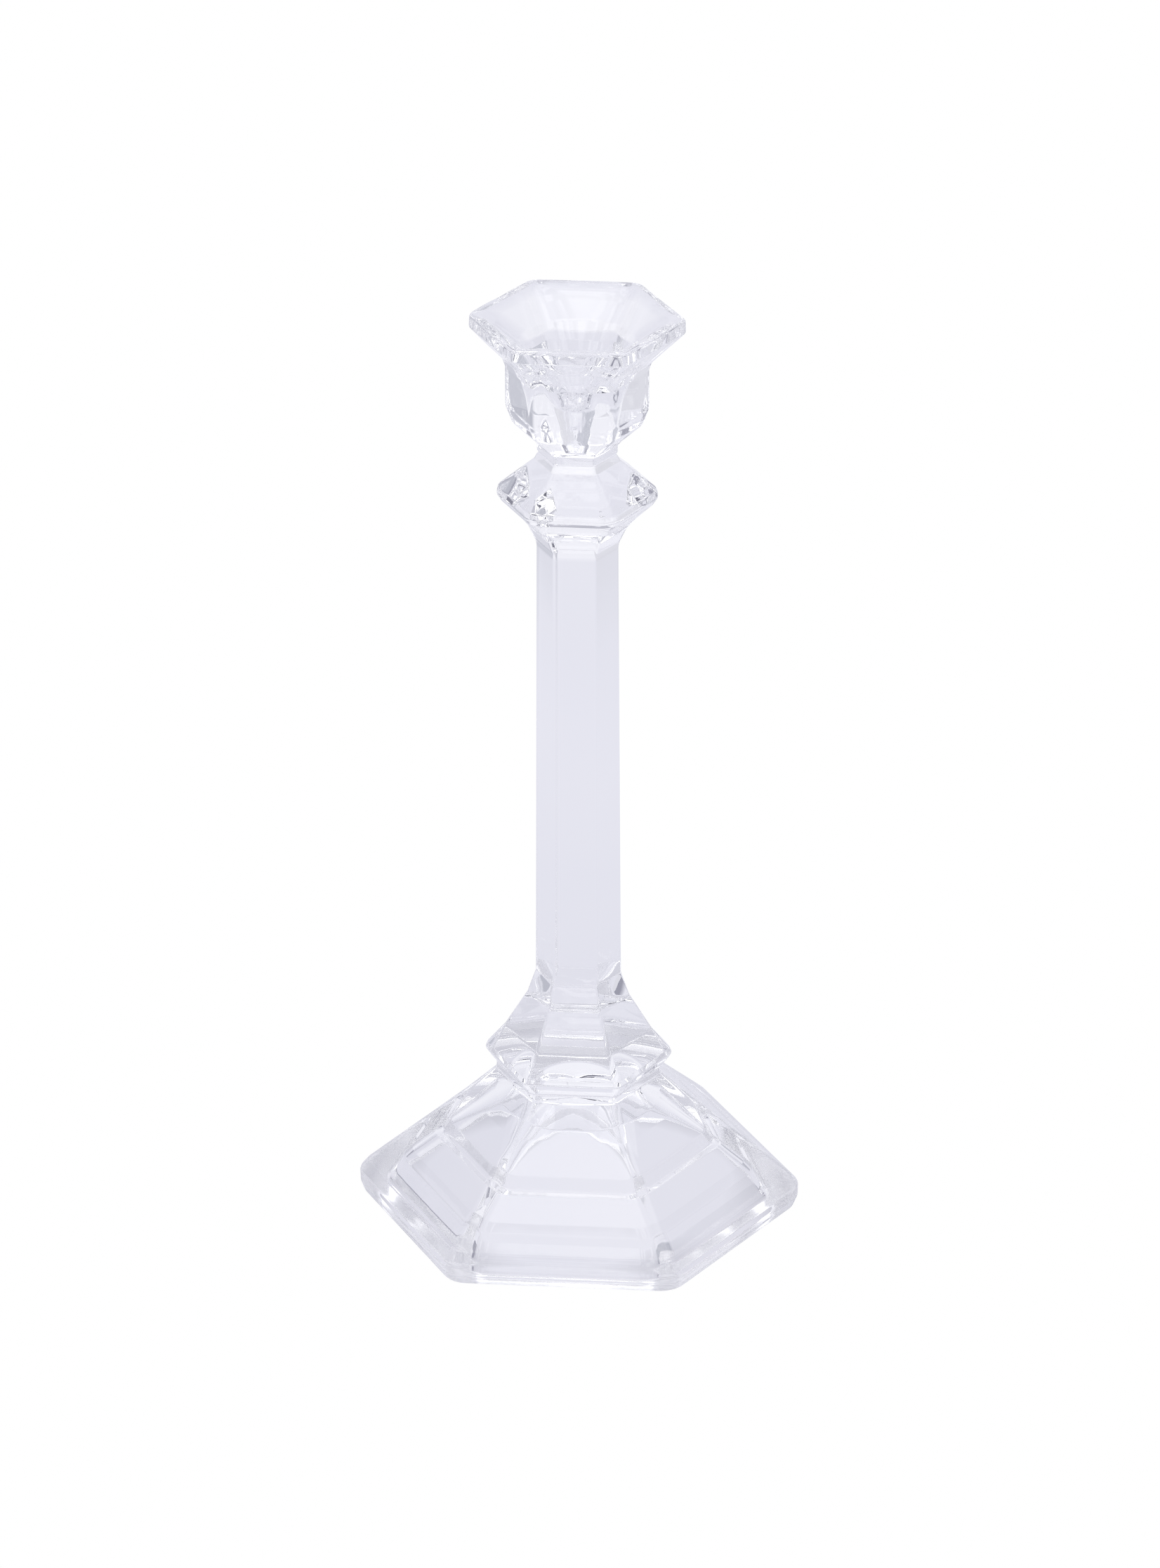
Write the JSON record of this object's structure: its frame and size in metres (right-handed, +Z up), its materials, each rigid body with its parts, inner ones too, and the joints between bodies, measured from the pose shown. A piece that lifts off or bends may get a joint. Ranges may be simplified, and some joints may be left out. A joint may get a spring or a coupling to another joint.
{
  "type": "glass candlestick",
  "caption": "Tall hexagonal pressed-glass candlestick with flared rim, bevelled knop, slim column, ledged collar and hollow sloping foot.",
  "frame": {"origin": "centre of the foot's resting edge, on the surface it stands on", "axes": "+Z up the column to the rim; two opposite corners of every hexagon lie on X"},
  "size_m": [0.1172, 0.1034, 0.254],
  "materials": {
    "clear_glass": "fire-polished pressed glass, colourless with a faint lavender cast"
  },
  "bodies": {
    "root": {"foot": "clear_glass", "collar": "clear_glass", "column": "clear_glass", "knop": "clear_glass", "joining_wafer": "clear_glass", "candle_socket": "clear_glass"}
  },
  "joints": []
}
